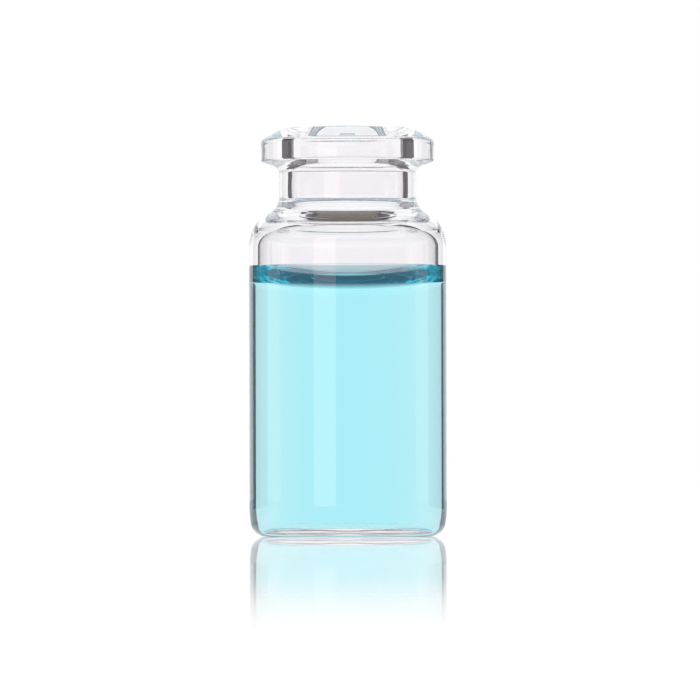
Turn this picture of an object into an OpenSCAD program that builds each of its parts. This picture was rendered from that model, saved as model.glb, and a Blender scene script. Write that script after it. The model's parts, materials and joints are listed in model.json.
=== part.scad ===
// Glass sample vial: a tubular glass vial with a bevelled crimp flange, open at
// the top and part filled with a clear blue solution. Millimetres, standing on
// its foot ring, with the vial's axis along Z and the bench at Z = 0.

/* [Tube] */
// Outer diameter of the tube
body_d = 22.5; // [21:0.1:26]
// Thickness of the tube wall
wall = 1.2; // [0.9:0.05:1.5]
// Height from the foot ring to the sealing face
height = 46.5; // [44:0.1:60]

/* [Base] */
// Glass thickness in the middle of the base
base_t = 1.15; // [0.7:0.05:2]
// How far the middle of the base is pushed up above the foot ring
push_up = 0.42; // [0.2:0.02:1.2]
// Radius of the flat crown of the pushed-up base
crown_r = 2.5; // [1:0.1:4]
// Radius of the blend between the crown and the slope down to the foot
crown_blend_r = 22; // [5:1:30]
// Width of the flat foot ring that the vial stands on
foot_w = 0.5; // [0.3:0.1:1.2]
// Radius of the heel, from the foot ring up to the tube
heel_r = 1.75; // [1:0.05:2.5]
// Lean of the heel's upper part, from vertical
heel_lean = 9.5; // [2:0.5:15]
// Radius that blends the heel into the tube
heel_blend_r = 12; // [4:0.5:16]
// Radius inside, where the base meets the wall
inner_heel_r = 0.65; // [0.4:0.05:2]

/* [Shoulder] */
// Height of the corner between tube and shoulder, before it is rounded
shoulder_z = 34.4; // [32:0.1:36]
// Lean of the lower shoulder, from vertical
lower_lean = 33; // [25:1:40]
// Radius between tube and lower shoulder
lower_r = 4.9; // [3:0.1:5.5]
// Lean of the upper shoulder, from vertical
upper_lean = 63.5; // [55:0.5:70]
// Radius between lower and upper shoulder
upper_r = 2.75; // [1.5:0.05:3.5]
// Radius of the fillet at the foot of the neck
neck_fillet_r = 2.2; // [1:0.1:2.6]
// How far the ceiling inside meets the wall above the shoulder's corner
ceiling_lift = 0.55; // [-0.9:0.05:0.8]
// Rise of the ceiling towards the neck, from level
ceiling_slope = 17; // [4:1:20]
// Radius inside, between wall and ceiling
ceiling_r = 2.7; // [1.5:0.1:3.2]
// Radius of the rounded edge where the neck bore opens into the body
throat_r = 1; // [0.4:0.1:2]

/* [Neck] */
// Outer diameter of the neck
neck_d = 15.66; // [15:0.02:16.5]
// Bore of the neck, which takes the stopper
bore_d = 12.75; // [12:0.05:13.2]

/* [Crimp flange] */
// Outer diameter of the flange, which the crimp cap grips
flange_d = 19.74; // [19.5:0.02:20.2]
// Height of the upright band of the flange
band_h = 2.4; // [1.8:0.05:3]
// Outer diameter of the flat sealing face
face_d = 14.8; // [14.2:0.05:15.6]
// Slope of the bevel between sealing face and band, from level
bevel = 29; // [15:1:35]
// Slope of the flange's underside, from level
under_slope = 19; // [8:1:30]
// Radius of the fillet under the flange
under_fillet_r = 1; // [0.3:0.05:1.3]
// Radius of the band's lower edge
band_low_r = 0.3; // [0.1:0.05:0.5]
// Radius of the band's upper edge
band_top_r = 0.7; // [0.1:0.05:0.9]
// Radius of the sealing face's outer edge
face_r = 0.8; // [0.2:0.05:1.2]
// Radius of the mouth's edge
mouth_r = 0.5; // [0.2:0.05:0.7]

/* [Solution] */
// Height of the solution's level, in the middle
level_z = 27.75; // [8:0.05:28.4]
// Angle at which the solution wets the glass, from vertical
contact_angle = 20; // [5:1:60]
// Capillary length of the solution, which sets the width of its curved edge
capillary = 2.7; // [2:0.05:3]

/* [Hidden] */
glass_tint = [0.93, 0.92, 0.96, 0.4];
solution_tint = [0.68, 0.94, 0.98];
// Angle of one step round a rounded corner, in degrees
arc_step = 7.5;
// Points on the solution's curved edge, and the height at which it counts as level
edge_points = 14;
edge_end = 0.1;
tiny = 0.001;

body_r = body_d / 2;
inner_r = body_r - wall;
neck_r = neck_d / 2;
bore_r = bore_d / 2;
flange_r = flange_d / 2;
sealing_r = face_d / 2;
// Where two roundings follow each other, their shared slope is as long as both take up
heel_turn = 90 - heel_lean;
heel_slope = heel_r * tan(heel_turn / 2) + heel_blend_r * tan(heel_lean / 2);
foot_r = body_r - heel_slope * sin(heel_lean);
foot_inner_r = foot_r - heel_r * tan(heel_turn / 2) - foot_w;
knee_slope = lower_r * tan(lower_lean / 2) + upper_r * tan((upper_lean - lower_lean) / 2);
knee_r = body_r - knee_slope * sin(lower_lean);
knee_z = shoulder_z + knee_slope * cos(lower_lean);
neck_foot_z = knee_z + (knee_r - neck_r) / tan(upper_lean);
band_top_z = height - (flange_r - sealing_r) * tan(bevel);
band_low_z = band_top_z - band_h;
under_z = band_low_z - (flange_r - neck_r) * tan(under_slope);
ceiling_z = shoulder_z + ceiling_lift;
throat_z = ceiling_z + (inner_r - bore_r) * tan(ceiling_slope);
edge_rise = capillary * sqrt(2 * (1 - sin(contact_angle)));

// ---- Outlines: points are [distance from the axis, height] ----

function unit(v) = v / norm(v);
function point(c) = [c.x, c.y];

// Half the angle at corner p between its neighbours a and b
function half_angle(a, p, b) = acos(unit(a - p) * unit(b - p)) / 2;

// The arc of radius r that rounds corner p, between its neighbours a and b
function corner_arc(a, p, b, r) =
    let (
        half = half_angle(a, p, b),
        centre = p + unit(unit(a - p) + unit(b - p)) * r / sin(half),
        start = p + unit(a - p) * r / tan(half) - centre,
        turn = (180 - 2 * half) * sign(cross(start, p - centre)),
        steps = ceil(abs(turn) / arc_step),
        first = atan2(start.y, start.x)
    )
    [for (i = [0:steps]) centre + r * [cos(first + turn * i / steps), sin(first + turn * i / steps)]];

// A closed outline from corners [distance, height, radius]; radius 0 stays sharp.
// Where two roundings want more of an edge than it has, both shrink to share it.
function rounded(corners) =
    let (
        n = len(corners),
        reach = [for (i = [0:n - 1]) corners[i].z / tan(half_angle(
            point(corners[(i + n - 1) % n]), point(corners[i]), point(corners[(i + 1) % n])))],
        share = [for (i = [0:n - 1])
            norm(point(corners[(i + 1) % n]) - point(corners[i])) / max(reach[i] + reach[(i + 1) % n], tiny)]
    )
    [for (i = [0:n - 1])
        let (r = corners[i].z * min(1, share[i], share[(i + n - 1) % n]))
        each r == 0
            ? [point(corners[i])]
            : corner_arc(point(corners[(i + n - 1) % n]), point(corners[i]), point(corners[(i + 1) % n]), r)];

// Half the outside of the vial, from the middle of the base up to the mouth
module outside() {
    polygon(rounded([
        [0, push_up, 0],
        [crown_r, push_up, crown_blend_r],
        [foot_inner_r, 0, 0],
        [foot_r, 0, heel_r],
        [body_r, heel_slope * cos(heel_lean), heel_blend_r],
        [body_r, shoulder_z, lower_r],
        [knee_r, knee_z, upper_r],
        [neck_r, neck_foot_z, neck_fillet_r],
        [neck_r, under_z, under_fillet_r],
        [flange_r, band_low_z, band_low_r],
        [flange_r, band_top_z, band_top_r],
        [sealing_r, height, face_r],
        [0, height, 0]
    ]));
}

// Half the cavity, from the base up through the neck
module cavity() {
    polygon(rounded([
        [0, push_up + base_t, 0],
        [crown_r, push_up + base_t, crown_blend_r],
        [inner_r, base_t, inner_heel_r],
        [inner_r, ceiling_z, ceiling_r],
        [bore_r, throat_z, throat_r],
        [bore_r, height, 0],
        [0, height, 0]
    ]));
}

// The mouth's rounded edge: what the sharp corner between bore and sealing face loses
module mouth_round() {
    difference() {
        translate([bore_r - mouth_r, height - mouth_r])
            square([2 * mouth_r, 2 * mouth_r]);
        translate([bore_r + mouth_r, height - mouth_r])
            circle(mouth_r, $fn = 96);
    }
}

// Distance from the wall at which the solution's edge stands h above its level:
// the shape that surface tension gives a liquid against an upright wall
function acosh(x) = ln(x + sqrt(x * x - 1));
function edge_reach(h) =
    capillary * (acosh(2 * capillary / h) - sqrt(4 - pow(h / capillary, 2)));

// Half of everything below the solution's surface
module below_surface() {
    edge = [for (i = [0:edge_points])
        let (h = edge_rise * pow(edge_end / edge_rise, i / edge_points))
        [inner_r - edge_reach(h) + edge_reach(edge_rise), level_z + h]];
    polygon(concat([[0, 0], [body_r, 0], [body_r, level_z + edge_rise]], edge, [[0, level_z]]));
}

// ---- Pieces ----

// The vial, drawn and formed from one glass tube
module vial_glass() {
    color(glass_tint)
        rotate_extrude($fn = 128)
            difference() {
                outside();
                cavity();
                mouth_round();
            }
}

// The clear blue solution, wetting the wall
module sample_solution() {
    color(solution_tint)
        rotate_extrude($fn = 128)
            intersection() {
                cavity();
                below_surface();
            }
}

vial_glass();
sample_solution();
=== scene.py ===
# %% [markdown]
# # A glass sample vial with a clear blue solution
#
# The real vial is one piece of glass, drawn and formed from a tube: a pushed-up base,
# a straight body, a rounded shoulder, a short neck, and a bevelled flange that a crimp
# cap grips. It stands open and is about three quarters full of a watery blue solution.
# Everything here is round, so both pieces are made as a potter would: an outline is
# drawn once and turned about the axis. The looks then come from how light bends in
# glass and in water, so the wall's inside has to be as true as its outside.

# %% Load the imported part
import bmesh
import bpy
import json
import math
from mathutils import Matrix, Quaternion, Vector


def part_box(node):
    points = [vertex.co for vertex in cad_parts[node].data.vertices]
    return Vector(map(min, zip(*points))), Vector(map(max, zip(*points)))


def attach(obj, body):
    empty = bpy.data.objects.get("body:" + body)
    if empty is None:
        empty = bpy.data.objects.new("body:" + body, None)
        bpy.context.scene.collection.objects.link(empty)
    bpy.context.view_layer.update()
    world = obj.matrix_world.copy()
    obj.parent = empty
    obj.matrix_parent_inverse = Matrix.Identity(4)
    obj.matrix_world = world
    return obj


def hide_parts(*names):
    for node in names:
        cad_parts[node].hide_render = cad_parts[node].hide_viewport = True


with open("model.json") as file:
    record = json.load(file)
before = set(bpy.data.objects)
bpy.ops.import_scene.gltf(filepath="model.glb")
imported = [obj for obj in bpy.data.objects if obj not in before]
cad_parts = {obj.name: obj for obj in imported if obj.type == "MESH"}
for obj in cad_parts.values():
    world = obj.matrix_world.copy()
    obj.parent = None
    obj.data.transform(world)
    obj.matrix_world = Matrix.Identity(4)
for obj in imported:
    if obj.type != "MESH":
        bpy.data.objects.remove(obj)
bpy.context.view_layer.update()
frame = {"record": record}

# %% [markdown]
# ## Measures
#
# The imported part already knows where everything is, so the main measures are read from
# it: the boxes of its two solids, and the bore and flange that its record names. The
# outlines below are easier to think about in millimetres, so `MM` turns metres around.

# %% Read the main measures
MM = 0.001

_, glass_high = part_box("vial_glass")
_, solution_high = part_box("sample_solution")
mounts = {mount["name"]: mount for mount in frame["record"]["mounts"]}

body_r = glass_high.x / MM
height = glass_high.z / MM
inner_r = solution_high.x / MM
edge_of_solution = solution_high.z / MM
bore_r = mounts["neck_bore"]["dims"]["r_mm"]
flange_r = mounts["crimp_flange"]["dims"]["r_mm"]
print(f"tube {2 * body_r:.2f} mm wide, {height:.1f} mm high, inside radius {inner_r:.2f} mm")
print(f"bore radius {bore_r:.3f} mm, flange radius {flange_r:.2f} mm")

# %% [markdown]
# ## An outline with rounded corners
#
# Molten glass has no sharp corner anywhere: surface tension rounds every edge. A maker
# still thinks in straight runs and corners, so an outline is listed as corners, each
# with the radius of its rounding, and this helper swaps each corner for an arc. The arc
# touches both runs, as a coin pushed into a corner does, and turns 3 degrees a step.

# %% Round the corners of an outline
ARC_STEP = math.radians(3)


def corner_arc(before, corner, after, radius):
    """The points of the arc that rounds a corner between its two neighbours."""
    to_before = (before - corner).normalized()
    to_after = (after - corner).normalized()
    half = to_before.angle(to_after) / 2
    centre = corner + (to_before + to_after).normalized() * radius / math.sin(half)
    start = corner + to_before * radius / math.tan(half) - centre
    end = corner + to_after * radius / math.tan(half) - centre
    first = math.atan2(start.y, start.x)
    turn = (math.atan2(end.y, end.x) - first + math.pi) % (2 * math.pi) - math.pi
    steps = max(2, math.ceil(abs(turn) / ARC_STEP))
    angles = [first + turn * i / steps for i in range(steps + 1)]
    return [centre + radius * Vector((math.cos(a), math.sin(a))) for a in angles]


def rounded(corners):
    """An open outline from corners (distance from the axis, height, radius)."""
    points = [Vector(corner[:2]) for corner in corners]
    outline = [points[0]]
    for i in range(1, len(corners) - 1):
        radius = corners[i][2]
        outline += corner_arc(*points[i - 1:i + 2], radius) if radius else [points[i]]
    return outline + [points[-1]]


def reach(radius, turn):
    """How far along its runs a rounding begins, when the outline turns by that angle."""
    return radius * math.tan(math.radians(turn) / 2)


# %% [markdown]
# ## The outside of the vial
#
# From the bench up: the base is pushed up a little in the middle, so that the vial
# stands on a narrow ring; the heel curves into the tube; the shoulder is two curves
# that meet at a slope; then come the neck and the flange, with its slanted underside,
# its upright band and its bevel up to the sealing face. The numbers are those of the
# part's CAD source. Where two curves share a short slope, the slope is exactly as long
# as both of them take up.

# %% Draw the outside
PUSH_UP = 0.42
CROWN_R, CROWN_BLEND_R = 2.5, 22
FOOT_W = 0.5
HEEL_R, HEEL_LEAN, HEEL_BLEND_R = 1.75, 9.5, 12
SHOULDER_Z = 34.4
LOWER_LEAN, LOWER_R = 33, 4.9
UPPER_LEAN, UPPER_R = 63.5, 2.75
NECK_R, NECK_FILLET_R = 7.83, 2.2
FACE_EDGE, FACE_R, BEVEL = 7.4, 0.8, 29
BAND_H, BAND_LOW_R, BAND_TOP_R = 2.4, 0.3, 0.7
UNDER_SLOPE, UNDER_FILLET_R = 19, 1.0
MOUTH_R = 0.5


def across(length, lean):
    """How far out a run of that length goes, when it leans that far from upright."""
    return length * math.sin(math.radians(lean))


def along(length, lean):
    """How far up a run of that length goes, when it leans that far from upright."""
    return length * math.cos(math.radians(lean))


heel_slope = reach(HEEL_R, 90 - HEEL_LEAN) + reach(HEEL_BLEND_R, HEEL_LEAN)
foot_r = body_r - across(heel_slope, HEEL_LEAN)
foot_inner_r = foot_r - reach(HEEL_R, 90 - HEEL_LEAN) - FOOT_W
knee_slope = reach(LOWER_R, LOWER_LEAN) + reach(UPPER_R, UPPER_LEAN - LOWER_LEAN)
knee_r = body_r - across(knee_slope, LOWER_LEAN)
knee_z = SHOULDER_Z + along(knee_slope, LOWER_LEAN)
neck_foot_z = knee_z + (knee_r - NECK_R) / math.tan(math.radians(UPPER_LEAN))
band_top_z = height - (flange_r - FACE_EDGE) * math.tan(math.radians(BEVEL))
band_low_z = band_top_z - BAND_H
under_z = band_low_z - (flange_r - NECK_R) * math.tan(math.radians(UNDER_SLOPE))

outside = rounded([
    (0, PUSH_UP, 0),
    (CROWN_R, PUSH_UP, CROWN_BLEND_R),
    (foot_inner_r, 0, 0),
    (foot_r, 0, HEEL_R),
    (body_r, along(heel_slope, HEEL_LEAN), HEEL_BLEND_R),
    (body_r, SHOULDER_Z, LOWER_R),
    (knee_r, knee_z, UPPER_R),
    (NECK_R, neck_foot_z, NECK_FILLET_R),
    (NECK_R, under_z, UNDER_FILLET_R),
    (flange_r, band_low_z, BAND_LOW_R),
    (flange_r, band_top_z, BAND_TOP_R),
    (FACE_EDGE, height, FACE_R),
    (bore_r + MOUTH_R, height, 0),
])
print(f"outside: {len(outside)} points, foot ring {foot_inner_r:.2f} to {foot_r:.2f} mm")

# %% [markdown]
# ## The inside of the vial
#
# What the eye reads as a glass edge is mostly the inside surface, seen through the
# outside one. The floor rises with the pushed-up base, so the base is an even disc of
# glass, and it meets the wall in a tight curve. The ceiling slopes up under the
# shoulder to a soft throat, where the bore of the neck begins. The solution fills the
# same cavity, so one helper draws both: for the solution it draws it a hair wider.

# %% Draw the inside
BASE_T = 1.15
INNER_HEEL_R = 0.65
CEILING_LIFT, CEILING_SLOPE, CEILING_R = 0.55, 17, 2.7
THROAT_R = 1.0
SHORT_OF_SEAM = 0.001

ceiling_z = SHOULDER_Z + CEILING_LIFT
throat_z = ceiling_z + (inner_r - bore_r) * math.tan(math.radians(CEILING_SLOPE))


def cavity_floor(grown=0.0):
    """The corners of the floor and the heel inside, grown by that much."""
    return [
        (0, PUSH_UP + BASE_T - grown, 0),
        (CROWN_R, PUSH_UP + BASE_T - grown, CROWN_BLEND_R),
        (inner_r + grown, BASE_T - grown, INNER_HEEL_R + grown),
    ]


inside = rounded(cavity_floor() + [
    (inner_r, ceiling_z, CEILING_R),
    (bore_r, throat_z, THROAT_R),
    (bore_r, height, MOUTH_R - SHORT_OF_SEAM),
    (bore_r + MOUTH_R, height, 0),
])
print(f"inside: {len(inside)} points, throat at {throat_z:.2f} mm")

# %% [markdown]
# ## Turning an outline into a solid
#
# Blender's Screw and Spin tools turn an outline, but glass asks for three things that
# are simpler in plain mesh code. The first is about smoothing: light is bent by the
# smoothed normals, and a long flat face next to a curve would smear them. So every
# long run gets a point close to each end, and more between.

# %% Add points to the long runs
CLOSE, SPACING, LONG_RUN = 0.02, 0.8, 1.0


def with_support(outline):
    """The outline with points close to both ends of each long run, and more between."""
    dense = []
    for a, b in zip(outline, outline[1:]):
        dense.append(a)
        length = (b - a).length
        if length > LONG_RUN:
            count = int(length / SPACING)
            parts = [CLOSE / length, *(i / count for i in range(1, count)), 1 - CLOSE / length]
            dense += [a.lerp(b, part) for part in parts]
    return dense + [outline[-1]]


print(f"the outside now has {len(with_support(outside))} points,",
      f"and the inside {len(with_support(inside))}")

# %% [markdown]
# ## A lathe for glass
#
# The second thing is truth: real tube is never perfectly round, so a point may be moved
# a few hundredths of a millimetre as it is laid down. The third is a mark on every
# point, kept in a vertex attribute called `wetted`: 1 where glass and solution touch,
# and 0 where there is air. The materials read it later.

# %% Turn an outline into a closed solid
AROUND = 240
ON_AXIS = 1e-6
SHARP_ANGLE = math.radians(24)


def skin(mesh, rings):
    """Joins each ring to the next. A ring of one point makes a pole of triangles."""
    for low, high in zip(rings, rings[1:]):
        for k in range(AROUND):
            n = (k + 1) % AROUND
            corners = [low[k % len(low)], low[n % len(low)],
                       high[n % len(high)], high[k % len(high)]]
            mesh.faces.new(list(dict.fromkeys(corners)))
    bmesh.ops.recalc_face_normals(mesh, faces=mesh.faces)


def turned(name, outline, is_wetted, ripple=None):
    """A closed solid, in metres, from an outline that starts and ends on the axis."""
    mesh = bmesh.new()
    wetted = mesh.verts.layers.float.new("wetted")
    rings = []
    for radius, up in with_support(outline):
        ring = []
        for k in range(AROUND if radius > ON_AXIS else 1):
            angle = 2 * math.pi * k / AROUND
            r = radius + (ripple(radius, up, angle) if ripple else 0)
            place = (r * math.cos(angle) * MM, r * math.sin(angle) * MM, up * MM)
            ring.append(mesh.verts.new(place))
            ring[-1][wetted] = is_wetted(radius, up)
        rings.append(ring)
    skin(mesh, rings)
    data = bpy.data.meshes.new(name)
    mesh.to_mesh(data)
    mesh.free()
    data.shade_smooth()
    data.set_sharp_from_angle(angle=SHARP_ANGLE)
    piece = bpy.data.objects.new(name, data)
    bpy.context.scene.collection.objects.link(piece)
    triangles = sum(len(face.vertices) - 2 for face in data.polygons)
    print(f"{name}: {len(rings)} rings, {triangles} triangles")
    return piece


# %% [markdown]
# ## The glass
#
# The bore of a neck is shaped from outside by rollers, on soft glass, and keeps faint
# waves that show as a wavy edge on the dark lines of the neck. `neck_waves` gives the
# bore those waves: a few hundredths of a millimetre, fading out towards the mouth and
# the throat, and a little different from side to side. The outside stays true.

# %% Give the bore its waves
BORE_MARGIN = 0.001
WAVES_START, WAVES_SHORT = 1.2, 2
ROLLER_WAVES = [(0.030, 39.0, 2.1, 0), (0.012, 38.0, 4.7, 1)]  # size, start, rate a mm, rate around
OVAL, OVAL_TURN = 0.012, 0.8


def neck_waves(radius, up, angle):
    """How far the bore's wall moves outwards at this height and angle, in millimetres."""
    if abs(radius - bore_r) > BORE_MARGIN:
        return 0
    part = (up - throat_z - WAVES_START) / (height - throat_z - WAVES_SHORT)
    fade = math.sin(math.pi * min(max(part, 0), 1))
    waves = sum(size * math.sin((up - start) * rate + around * angle)
                for size, start, rate, around in ROLLER_WAVES)
    return fade * (waves + OVAL * math.sin(2 * angle + OVAL_TURN))


middle_of_bore = (throat_z + height) / 2
moved = neck_waves(bore_r, middle_of_bore, 0)
print(f"halfway up the neck, the right side of the bore moves by {moved:.3f} mm")

# %% [markdown]
# ## Turn the glass
#
# The glass is one skin: up the outside, over the mouth's edge and down the inside. The
# solution wets the floor and the wall of the cavity up to its own edge.

# %% Turn the glass
SIDE_MARGIN, FLOOR_MARGIN = 0.01, 0.05


def touches_solution(radius, up):
    """1 on the inside of the glass, where the solution wets it, and 0 elsewhere."""
    return float(radius < inner_r + SIDE_MARGIN and BASE_T - FLOOR_MARGIN < up < edge_of_solution)


glass = turned("formed_glass", outside + inside[::-1], touches_solution, neck_waves)
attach(glass, "root")
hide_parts("vial_glass")

# %% [markdown]
# ## The solution's surface
#
# Water wets clean glass, so its surface climbs the wall in a curve, the meniscus. That
# dark curved band is the strongest thing in the whole picture, and a guessed curve
# looks wrong, so the true one is worked out: along it, the pull of the surface balances
# the weight of the raised liquid. Starting from a height in the middle, measured from
# the level far from any wall, the curve is followed outwards step by step.

# %% Follow the surface from the middle to the wall
CAPILLARY = 2.7
STEP = 0.02
LOWEST, HIGHEST = 1e-4, 2.0


def surface_from(middle, wall_r):
    """The surface as (distance from the axis, height, slope), outwards from that height."""
    r, z, slope = 0.0, middle, 0.0
    curve = [(r, z, slope)]
    while r < wall_r and slope < math.pi / 2:
        across_bend = math.sin(slope) / r if r else z / CAPILLARY**2 / 2
        slope += (z / CAPILLARY**2 - across_bend) * STEP
        r += math.cos(slope) * STEP
        z += math.sin(slope) * STEP
        curve.append((r, z, slope))
    return curve


flat = surface_from(LOWEST, inner_r)
print(f"from {LOWEST} mm in the middle, the surface comes to the wall",
      f"at {math.degrees(flat[-1][2]):.1f} degrees")

# %% [markdown]
# ## The right height in the middle
#
# Too low a start meets the wall too flat, and too high a start too steep. So the height
# is closed in on from both sides, until the surface meets the wall at the contact angle
# of water on clean glass.

# %% Work out the meniscus
CONTACT_ANGLE = 20
TRIES = 50
OVERLAP = 0.02


def meniscus(wall_r):
    """The surface that meets a wall of that radius at the contact angle."""
    low, high = LOWEST, HIGHEST
    for _ in range(TRIES):
        middle = math.sqrt(low * high)
        curve = surface_from(middle, wall_r)
        too_steep = curve[-1][2] > math.radians(90 - CONTACT_ANGLE) or curve[-1][0] < wall_r
        low, high = (low, middle) if too_steep else (middle, high)
    return surface_from(low, wall_r)


curve = meniscus(inner_r + OVERLAP)
top = curve[-1][1]
print(f"the edge stands {top - curve[0][1]:.2f} mm above the middle of the surface")

# %% [markdown]
# ## The solution
#
# A ray that passes from glass to water must not meet air on the way. If the two meshes
# merely touched, rounding errors would open slivers of air, and if there were a gap,
# the wall would turn into a mirror. So the solution reaches a fiftieth of a millimetre
# into the glass: the ray enters the water just before it leaves the glass, and both
# bends together come out exactly as the single real one.

# %% Draw the solution's outline
EDGE_SINK = 0.01
STEP_TURN = math.radians(1.5)
NEAR_AXIS = 3

raised = edge_of_solution - EDGE_SINK - top
surface, last_slope = [], math.inf
for r, z, slope in reversed(curve[NEAR_AXIS:]):
    if last_slope - slope > STEP_TURN:
        surface.append(Vector((r, z + raised)))
        last_slope = slope
surface.append(Vector((0, curve[0][1] + raised)))
bottom = rounded(cavity_floor(OVERLAP) + [(inner_r + OVERLAP, surface[0].y, 0)])[:-1]
level = surface[-1].y
print(f"{len(surface)} points on the surface, and its middle is {level:.2f} mm above the bench")

# %% [markdown]
# ## Turn the solution
#
# The same lathe turns it. Its sides and its bottom touch the glass, and its surface is
# open to the air.

# %% Turn the solution
SURFACE_MARGIN = 1


def touches_glass(radius, up):
    """1 on the sides and the bottom of the solution, and 0 on its open surface."""
    return float(radius > inner_r or up < level - SURFACE_MARGIN)


solution = turned("blue_solution_body", bottom + surface, touches_glass)
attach(solution, "root")
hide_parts("sample_solution")

# %% [markdown]
# ## Materials: small helpers
#
# Each material is a little graph of nodes. `new_material` clears the default graph and
# hands back its node tree, and `node` adds a node and fills in its inputs, by name or,
# where several inputs share a name, by number.

# %% Helpers for materials
def new_material(name):
    """A fresh material with an empty node tree: (material, tree)."""
    material = bpy.data.materials.new(name)
    material.use_nodes = True
    material.node_tree.nodes.clear()
    return material, material.node_tree


def node(tree, kind, inputs=None, **settings):
    """A node of that kind. inputs gives values, or sockets to link from."""
    made = tree.nodes.new(kind)
    for key, value in settings.items():
        setattr(made, key, value)
    for key, value in (inputs or {}).items():
        if isinstance(value, bpy.types.NodeSocket):
            tree.links.new(value, made.inputs[key])
        else:
            made.inputs[key].default_value = value
    return made


def result(tree, operation, a, b):
    """What a Math node makes of two numbers, kept between 0 and 1."""
    made = node(tree, "ShaderNodeMath", {0: a, 1: b}, operation=operation, use_clamp=True)
    return made.outputs[0]


def finish_material(tree, surface_socket, volume_socket=None):
    """Connects the material's output node."""
    output = node(tree, "ShaderNodeOutputMaterial", {"Surface": surface_socket})
    if volume_socket:
        tree.links.new(volume_socket, output.inputs["Volume"])


# %% [markdown]
# ## Where glass and solution touch
#
# A glass surface mirrors a little, the more so the more slantwise light meets it. Where
# water lies against it there is hardly any mirror, because the two bend light almost
# alike. But the renderer meets two surfaces there, and treats each as if air were
# beside it, so both would mirror far too much and the wall would look silvery. The
# marks made on the lathe help: `shine` turns the mirror off where a piece is wetted.

# %% Take the shine off wetted glass
def shine(tree):
    """White where a piece has air beside it, and black where glass and solution touch."""
    wetted = node(tree, "ShaderNodeAttribute", attribute_name="wetted").outputs["Fac"]
    return result(tree, "SUBTRACT", 1.0, wetted)


for piece in (glass, solution):
    marks = piece.data.attributes["wetted"].data
    share = sum(mark.value for mark in marks) / len(marks)
    print(f"{piece.name}: {share:.0%} of its points are wetted")


# %% [markdown]
# ## Clear glass
#
# Laboratory glass is clear borosilicate, with hardly any colour and a refractive index
# near 1.5, and its surface is fire polished, so there is no roughness at all. What
# keeps it from looking like a computer's perfect cylinder is how it was made: drawn
# tube has very faint lines along its length. A noise gives them, as the gentlest bump.
# Its grains are about a millimetre wide, and drawn out to many times that along Z.

# %% Make the clear glass
LINES_A_METRE = (900, 900, 60)
LINE_DEPTH, LINE_STRENGTH = 0.00002, 0.02

clear_glass, tree = new_material("clear_glass")
on_glass = node(tree, "ShaderNodeTexCoord").outputs["Object"]
drawn = node(tree, "ShaderNodeMapping", {"Vector": on_glass, "Scale": LINES_A_METRE})
lines = node(tree, "ShaderNodeTexNoise",
             {"Vector": drawn.outputs[0], "Scale": 1.0, "Detail": 2.0})
bump = node(tree, "ShaderNodeBump",
            {"Height": lines.outputs[0], "Strength": LINE_STRENGTH, "Distance": LINE_DEPTH})
shader = node(tree, "ShaderNodeBsdfPrincipled", {
    "Base Color": (0.995, 0.985, 1.0, 1),
    "Roughness": 0.0,
    "IOR": 1.51,
    "Transmission Weight": 1.0,
    "Specular Tint": shine(tree),
    "Normal": bump.outputs[0],
})
finish_material(tree, shader.outputs[0])
glass.data.materials.append(clear_glass)
print(f"clear glass: {len(tree.nodes)} nodes, drawn lines {LINE_DEPTH * 1e6:.0f} micrometres deep")

# %% [markdown]
# ## Blue solution
#
# The solution has no colour on its surface: the blue is in its depth, because the
# water takes some of the red out of the light on its way through. Volume Absorption
# does just that. It lets its own colour through and takes the rest, and its density
# says how fast. Through 20 mm of this one, under half of the red is left, and nearly
# all of the green and blue.

# %% Make the blue solution
DEPTH_COLOUR, DENSITY = (0.30, 0.945, 0.985), 60.0

blue_solution, tree = new_material("blue_solution")
shader = node(tree, "ShaderNodeBsdfPrincipled", {
    "Base Color": (1, 1, 1, 1),
    "Roughness": 0.0,
    "IOR": 1.333,
    "Transmission Weight": 1.0,
    "Specular Tint": shine(tree),
})
depth = node(tree, "ShaderNodeVolumeAbsorption",
             {"Color": (*DEPTH_COLOUR, 1), "Density": DENSITY})
finish_material(tree, shader.outputs[0], depth.outputs[0])
solution.data.materials.append(blue_solution)

left_over = [math.exp(-DENSITY * (1 - part) * 2 * inner_r * MM) for part in DEPTH_COLOUR]
print("red, green and blue left after the tube's width:", [round(v, 2) for v in left_over])

# %% [markdown]
# ## Light for glass
#
# Clear glass has no look of its own: it shows its surroundings, bent. In a studio it
# is lit by a bright white background, and that is the plain white world here. Inside
# the glass a ray bounces on for a long time, and a ray that is given up comes back
# black. So more bounces are allowed than Blender's usual twelve, or false black
# patches show in the shoulder.

# %% The white surroundings
LONGEST_PATH = 64
cycles = bpy.context.scene.cycles
cycles.max_bounces = cycles.transmission_bounces = cycles.glossy_bounces = LONGEST_PATH

world = bpy.data.worlds.new("white_studio")
bpy.context.scene.world = world
world.use_nodes = True
world.node_tree.nodes["Background"].inputs["Color"].default_value = (1, 1, 1, 1)
world.node_tree.nodes["Background"].inputs["Strength"].default_value = 1.0
print(f"white surroundings, and up to {LONGEST_PATH} bounces for a ray")

# %% [markdown]
# ## Card, paint and walls
#
# In a white room alone, clear glass all but vanishes. What draws it are dark things
# just outside the picture. They are matt painted sheets here, stage pieces that the
# camera itself doesn't see and that take no light from the floor: only the glass
# shows them. All their measures are in metres.

# %% Helpers for the dark sheets
def matt_paint(name, colour):
    """A matt paint of one colour."""
    material, tree = new_material(name)
    shader = node(tree, "ShaderNodeBsdfPrincipled",
                  {"Base Color": (*colour, 1), "Roughness": 0.9})
    finish_material(tree, shader.outputs[0])
    return material


def card(name, corners, faces, material):
    """A sheet on the stage, unseen by the camera and by the floor."""
    data = bpy.data.meshes.new(name)
    data.from_pydata(corners, [], faces)
    piece = bpy.data.objects.new(name, data)
    bpy.context.scene.collection.objects.link(piece)
    piece.data.materials.append(material)
    piece.visible_camera = piece.visible_diffuse = piece.visible_shadow = False
    return piece


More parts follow.
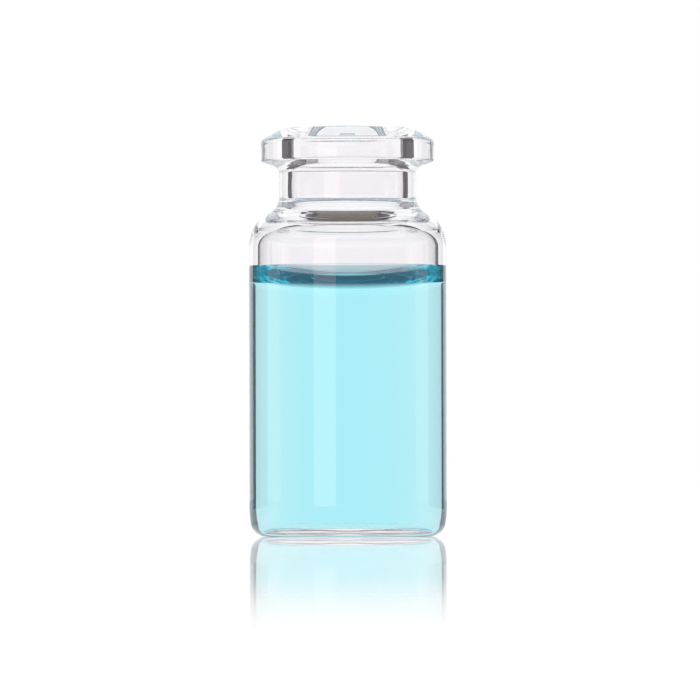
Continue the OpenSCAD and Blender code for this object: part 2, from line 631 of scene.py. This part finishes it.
def standing(name, line, top, material, foot=0.0):
    """An upright card over a line of floor points, from its foot up to its top."""
    corners = [(x, y, z) for x, y in line for z in (foot, top)]
    faces = [(2 * i, 2 * i + 2, 2 * i + 3, 2 * i + 1) for i in range(len(line) - 1)]
    return card(name, corners, faces, material)


# %% [markdown]
# ## Black cards left and right
#
# The curved walls bend the view sideways, so each wall's edge shows a card as a crisp
# dark line. The empty part of a wall turns the view some 40 degrees to its own side,
# and a wall with solution behind it turns it some 46 degrees to the other side, so the
# two cards begin at about those angles. A wall's very edge also mirrors what stands
# behind it on its own side, at some 35 degrees. Two narrow strips stand there, and
# only the gloss shows them. The flange's slanted underside bends the view further
# round and up, to the sides. Two wings hang there, high enough that the straight
# walls don't see them.

# %% Stand the side cards
card_black = matt_paint("card_black", (0.07, 0.06, 0.075))
FAR_END, WING_END = (0.152, 0.040), (0.155, -0.014)
SIDES = [  # side, near end of the card, both ends of the strip, top of the card
    ("left", -1, (0.096, 0.101), (0.0925, 0.1137), 0.26),
    ("right", 1, (0.086, 0.100), (0.0831, 0.1137), 0.28),
]
STRIP_BACK, STRIP_TOP = 0.120, 0.26
WING_FOOT, WING_TOP = 0.06, 0.28


def on_side(way, *points):
    """Floor points for one side: way is -1 for the left, and 1 for the right."""
    return [(way * x, y) for x, y in points]


for side, way, near_end, strip_ends, card_top in SIDES:
    standing(f"dark_card_{side}", on_side(way, near_end, FAR_END), card_top, card_black)
    wing_line = on_side(way, FAR_END, WING_END)
    standing(f"dark_wing_{side}", wing_line, WING_TOP, card_black, WING_FOOT)
    strip_line = on_side(way, *((x, STRIP_BACK) for x in strip_ends))
    strip = standing(f"edge_card_{side}", strip_line, STRIP_TOP, card_black)
    strip.visible_transmission = False
    begins = math.degrees(math.atan2(near_end[0], near_end[1]))
    print(f"{side}: the card begins {begins:.0f} degrees round from straight behind")

# %% [markdown]
# ## A sheet above and a dim room
#
# The throat under the neck works as a lens that looks steeply up and back, and it has
# a dark, slightly warm spot: a brown sheet hangs over the camera's side. The room
# behind the camera is dimmer than the background, as a real one is, so the front of
# the glass doesn't turn milky. The room's wall is an arc round the front that stops
# short of the sides.

# %% Hang the sheet and put up the room
SHEET_HALF, SHEET_BACK, SHEET_UP = 0.25, 0.08, 0.25
ROOM_R, ROOM_TOP = 1.5, 1.0
ROOM_HALF, ROOM_PARTS = math.radians(86), 32

ceiling_brown = matt_paint("ceiling_brown", (0.14, 0.12, 0.10))
sheet_corners = [(-SHEET_HALF, SHEET_BACK, SHEET_UP), (SHEET_HALF, SHEET_BACK, SHEET_UP),
                 (SHEET_HALF, -SHEET_HALF, SHEET_UP), (-SHEET_HALF, -SHEET_HALF, SHEET_UP)]
card("dark_card_above", sheet_corners, [(0, 1, 2, 3)], ceiling_brown)

room_grey = matt_paint("room_grey", (0.33, 0.30, 0.35))
turns = [ROOM_HALF * (2 * i / ROOM_PARTS - 1) for i in range(ROOM_PARTS + 1)]
room_line = [(ROOM_R * math.sin(turn), -ROOM_R * math.cos(turn)) for turn in turns]
standing("dim_room", room_line, ROOM_TOP, room_grey)
print(f"the room's wall is {ROOM_R:.1f} m away and {ROOM_TOP:.1f} m high")

# %% [markdown]
# ## A soft window on the front
#
# A tall softbox stands at the front left. All that shows of it on clean glass is one
# pale upright strip, the same one on the body from shoulder to heel. Its light is a
# little warm, because it falls on blue. It is there for the gloss: the glass doesn't
# show it as a shape behind itself.

# %% The softbox
SOFTBOX_AWAY, SOFTBOX_UP = 0.25, 0.03
SOFTBOX_TURN = math.radians(26.5)
SOFTBOX_WIDE, SOFTBOX_HIGH = 0.115, 0.2

lamp = bpy.data.lights.new("softbox", "AREA")
lamp.shape = "RECTANGLE"
lamp.size, lamp.size_y = SOFTBOX_WIDE, SOFTBOX_HIGH
lamp.energy = 0.13
lamp.color = (1.0, 0.7, 0.66)
softbox = bpy.data.objects.new("softbox", lamp)
softbox.location = (-SOFTBOX_AWAY * math.sin(SOFTBOX_TURN),
                    -SOFTBOX_AWAY * math.cos(SOFTBOX_TURN), SOFTBOX_UP)
softbox.rotation_euler = (math.pi / 2, 0, -SOFTBOX_TURN)
softbox.visible_transmission = False
bpy.context.scene.collection.objects.link(softbox)
print(f"softbox {SOFTBOX_AWAY:.2f} m away, {math.degrees(SOFTBOX_TURN):.0f} degrees to the left")

# %% [markdown]
# ## Helpers for the floor's graph
#
# The floor's material is mostly sums with distances and with the Light Path node,
# which tells what kind of ray has arrived. These helpers keep that readable.

# %% Helpers for slopes and mixes
def ramp(tree, value, start, end, low=0.0, high=1.0, shape="LINEAR"):
    """From low to high, while the value goes from start to end."""
    inputs = {"Value": value, "From Min": start, "From Max": end, "To Min": low, "To Max": high}
    return node(tree, "ShaderNodeMapRange", inputs, interpolation_type=shape).outputs[0]


def blend(tree, factor, a, b):
    """The number a where the factor is 0, and b where it is 1."""
    return node(tree, "ShaderNodeMix", {0: factor, 2: a, 3: b}).outputs[0]


# %% [markdown]
# ## Painted shade on the floor
#
# The floor's colour carries painted shade, and the shade a ray finds depends on the
# kind of ray. Right under the foot hardly any light gets in, and a dark ring is painted
# there. Glass and solution throw soft shade behind them too; here it is painted into the
# floor behind the foot, and the solution's curved edge mirrors it, from inside: that
# makes the dark band round the surface. Rays that only pass through the glass find a
# paler painted spot a little further back. The gloss of the heel looks at the floor
# too: ahead it is painted as dim as the room over it, and behind it a little dimmer
# than the background, so the wall's dark edge carries on round the heel. `openness` is
# 1 where the floor is open to the light, and falls to 0 in full painted shade.

# %% Paint the shade on the floor
# The painted shade: a dark ring under the foot, a patch behind it, a paler spot further back, and
# dimming that only the gloss sees.
UNDER_FOOT = (0.0090, 0.0104)  # from dark to open, in metres from the axis
BEHIND, FRONT = (0.0105, 0.045), (-0.003, -0.008)
SPOT_AT, SPOT, SPOT_OPEN = (0.0, 0.026, 0.0), (0.006, 0.029), 0.45
GLIMPSED = [(-0.004, -0.012, 0.3), (0.002, 0.010, 0.65)]  # ahead, behind: from, to, openness
PAINTED_SHADE_COLOUR, WHITE = (0.12, 0.14, 0.20, 1), (1, 1, 1, 1)

floor_white, tree = new_material("floor_white")
ray = node(tree, "ShaderNodeLightPath").outputs
place = node(tree, "ShaderNodeTexCoord").outputs["Object"]
y_axis = node(tree, "ShaderNodeSeparateXYZ", {0: place}).outputs["Y"]
from_axis = node(tree, "ShaderNodeVectorMath", {0: place}, operation="LENGTH").outputs["Value"]
from_spot = node(tree, "ShaderNodeVectorMath",
                 {0: place, 1: SPOT_AT}, operation="DISTANCE").outputs["Value"]

bent = ray["Is Transmission Ray"]
passed = blend(tree, bent, ramp(tree, from_axis, *UNDER_FOOT),
               ramp(tree, from_spot, *SPOT, SPOT_OPEN, 1.0, "SMOOTHSTEP"))
mirrored = result(tree, "MULTIPLY", ray["Glossy Depth"], bent)
behind = result(tree, "MAXIMUM", ramp(tree, from_axis, *BEHIND), ramp(tree, y_axis, *FRONT))
openness = blend(tree, mirrored, passed, behind)
only_gloss = result(tree, "SUBTRACT", ray["Is Glossy Ray"], bent)
for start, end, left_open in GLIMPSED:
    there = result(tree, "MULTIPLY", only_gloss, ramp(tree, y_axis, start, end))
    openness = blend(tree, there, openness, left_open)
# The floor's colour: the painted shade colour where the mask is 0, and white where it is 1.
shade = node(tree, "ShaderNodeMix",
             {0: openness, 6: PAINTED_SHADE_COLOUR, 7: WHITE}, data_type="RGBA").outputs[2]
print(f"the shade behind the foot reaches {BEHIND[1] / MM:.0f} mm from the axis")

# %% [markdown]
# ## The floor
#
# The vial stands on a plain white glossy sheet. Three things are mixed: a matt white
# that takes the light and the shade, the white of the background for the camera's,
# the gloss's and the glass's own rays, and a mirror. The mirror follows Fresnel's law,
# squared to keep it to grazing looks, and for the camera it dies away in front, as on
# a sheet that is hazy further off. So the reflection under the vial fades downwards.

# %% Mix the white and the mirror
WHITE_LEVEL, WHITE_SHARE = 1.03, 0.8
MIRROR, HAZE = 0.70, (-0.68, -0.40)

# Both the matt and the background white take their colour from the painted shade.
matt = node(tree, "ShaderNodeBsdfDiffuse", {"Color": shade})
white = node(tree, "ShaderNodeEmission", {"Color": shade, "Strength": WHITE_LEVEL})
eye_or_gloss = result(tree, "MAXIMUM", ray["Is Camera Ray"], ray["Is Glossy Ray"])
glow = result(tree, "MULTIPLY", result(tree, "MAXIMUM", eye_or_gloss, bent), WHITE_SHARE)
sheet = node(tree, "ShaderNodeMixShader", {0: glow, 1: matt.outputs[0], 2: white.outputs[0]})

polish = ramp(tree, y_axis, *HAZE, 0.0, MIRROR, "SMOOTHSTEP")
gloss = result(tree, "MAXIMUM", result(tree, "MULTIPLY", polish, ray["Is Camera Ray"]), bent)
fresnel = node(tree, "ShaderNodeFresnel", {"IOR": 1.5}).outputs[0]
shown = result(tree, "MULTIPLY", gloss, result(tree, "POWER", fresnel, 2.0))
mirror = node(tree, "ShaderNodeBsdfGlossy", {"Color": WHITE, "Roughness": 0.0})
both = node(tree, "ShaderNodeMixShader", {0: shown, 1: sheet.outputs[0], 2: mirror.outputs[0]})
finish_material(tree, both.outputs[0])
print(f"floor_white: {len(tree.nodes)} nodes")

# %% [markdown]
# ## Lay the sheet
#
# The sheet lies a hair under the foot ring, so that no two faces share one plane, which
# a renderer can't tell apart. It is far wider than the picture from any side.

# %% Lay the floor
FLOOR_DROP, FLOOR_HALF = 0.00002, 2

floor_corners = [(-FLOOR_HALF, -FLOOR_HALF, 0), (FLOOR_HALF, -FLOOR_HALF, 0),
                 (FLOOR_HALF, FLOOR_HALF, 0), (-FLOOR_HALF, FLOOR_HALF, 0)]
data = bpy.data.meshes.new("floor")
data.from_pydata(floor_corners, [], [(0, 1, 2, 3)])
floor = bpy.data.objects.new("floor", data)
floor.location.z = -FLOOR_DROP
bpy.context.scene.collection.objects.link(floor)
floor.data.materials.append(floor_white)
print(f"a sheet {2 * FLOOR_HALF} m wide, {FLOOR_DROP * 1e6:.0f} micrometres under the foot ring")

# %% [markdown]
# ## The camera
#
# The eye is almost level with the floor, and a metre away, so the round edges hardly
# open into ellipses. The camera looks slightly up at the middle of the picture, and is
# held a touch askew, as by hand. Its focal length follows from how much of the vial's
# plane the picture should hold, and a tiny shift puts the vial where it belongs.

# %% Place the camera
EYE_HEIGHT, DISTANCE = 0.006, 1.0
PICTURE_WIDE = 0.07979
AIM = Vector((0, 0, 0.02122))
ROLL = math.radians(-0.13)
SHIFT = 0.0031

eye = Vector((0, -DISTANCE, EYE_HEIGHT))
camera_data = bpy.data.cameras.new("camera")
camera_data.sensor_width = 36
camera_data.lens = camera_data.sensor_width * (AIM - eye).length / PICTURE_WIDE
camera_data.shift_x = SHIFT
camera_data.clip_start, camera_data.clip_end = 0.01, 20
camera = bpy.data.objects.new("camera", camera_data)
camera.location = eye
camera.rotation_mode = "QUATERNION"
camera.rotation_quaternion = (AIM - eye).to_track_quat("-Z", "Y") @ Quaternion((0, 0, 1), ROLL)
bpy.context.scene.collection.objects.link(camera)
bpy.context.scene.camera = camera
bpy.context.scene.view_settings.view_transform = "Standard"
tilt = math.degrees(math.atan2(AIM.z - EYE_HEIGHT, DISTANCE))
print(f"lens {camera_data.lens:.0f} mm, looking up {tilt:.2f} degrees")
